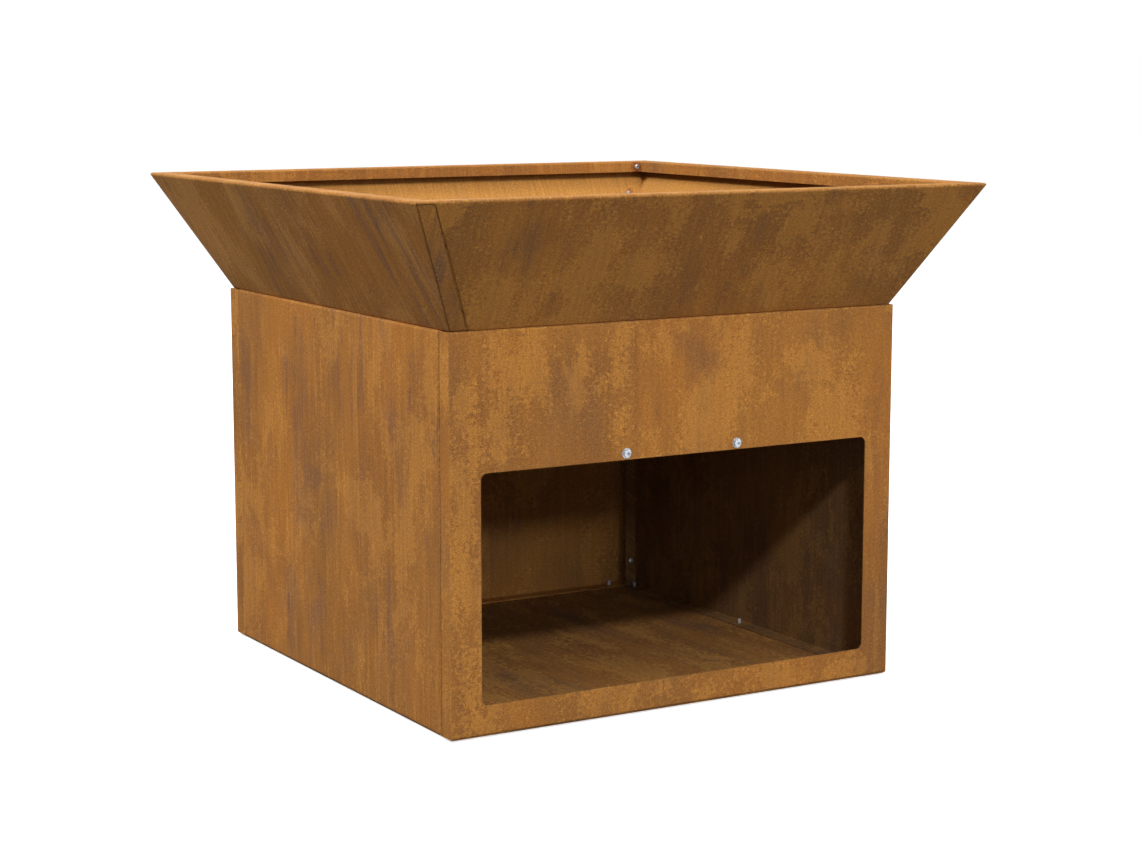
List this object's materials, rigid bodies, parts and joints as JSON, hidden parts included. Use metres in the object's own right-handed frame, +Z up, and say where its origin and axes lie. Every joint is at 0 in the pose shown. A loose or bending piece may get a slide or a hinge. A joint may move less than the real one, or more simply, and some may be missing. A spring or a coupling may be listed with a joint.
{
  "type": "fire pit",
  "caption": "Square folded-steel fire pit with a rust patina: a box base with an open log store in front, and a flared fire tray with a folded rim on top.",
  "frame": {"origin": "on the ground under the middle of the pit, level with the underside of the floor screws' heads", "axes": "+Z up, -Y out of the front face with the log store's opening, +X to the right seen from the front"},
  "size_m": [1, 1, 0.8],
  "materials": {
    "rusty_base": "matt rust patina",
    "rusty_tray": "matt rust patina",
    "rusty_inside": "matt rust patina, darker",
    "zinc_screw": "bright zinc-plated"
  },
  "bodies": {
    "pit": {"front_panel": "rusty_base", "back_panel": "rusty_base", "left_panel": "rusty_base", "right_panel": "rusty_base", "floor_plate": "rusty_inside", "heat_shield": "rusty_inside", "tray_left_back": "rusty_tray", "tray_front_right": "rusty_tray", "floor_screw_front_1": "zinc_screw", "floor_screw_front_2": "zinc_screw", "floor_screw_front_3": "zinc_screw", "floor_screw_right_1": "zinc_screw", "floor_screw_right_2": "zinc_screw", "floor_screw_right_3": "zinc_screw", "floor_screw_back_1": "zinc_screw", "floor_screw_back_2": "zinc_screw", "floor_screw_back_3": "zinc_screw", "floor_screw_left_1": "zinc_screw", "floor_screw_left_2": "zinc_screw", "floor_screw_left_3": "zinc_screw", "tray_screw_front": "zinc_screw", "tray_screw_right": "zinc_screw", "tray_screw_back": "zinc_screw", "tray_screw_left": "zinc_screw", "corner_screw_front_left_1": "zinc_screw", "corner_screw_front_left_2": "zinc_screw", "corner_screw_front_left_3": "zinc_screw", "corner_screw_front_right_1": "zinc_screw", "corner_screw_front_right_2": "zinc_screw", "corner_screw_front_right_3": "zinc_screw", "corner_screw_back_right_1": "zinc_screw", "corner_screw_back_right_2": "zinc_screw", "corner_screw_back_right_3": "zinc_screw", "corner_screw_back_left_1": "zinc_screw", "corner_screw_back_left_2": "zinc_screw", "corner_screw_back_left_3": "zinc_screw", "shield_screw_front_1": "zinc_screw", "shield_screw_front_2": "zinc_screw", "shield_screw_back_1": "zinc_screw", "shield_screw_back_2": "zinc_screw", "seam_screw_front_left_1": "zinc_screw", "seam_screw_front_left_2": "zinc_screw", "seam_screw_back_right_1": "zinc_screw", "seam_screw_back_right_2": "zinc_screw", "rim_screw_front_left": "zinc_screw", "rim_screw_back_right": "zinc_screw"},
    "fire_plate": {"fire_plate": "rusty_inside"}
  },
  "joints": [
    {"name": "fire_plate_lift", "type": "slide", "parent": "pit", "child": "fire_plate", "axis": [0, 0, 1], "range_m": [0, 0.22]}
  ]
}
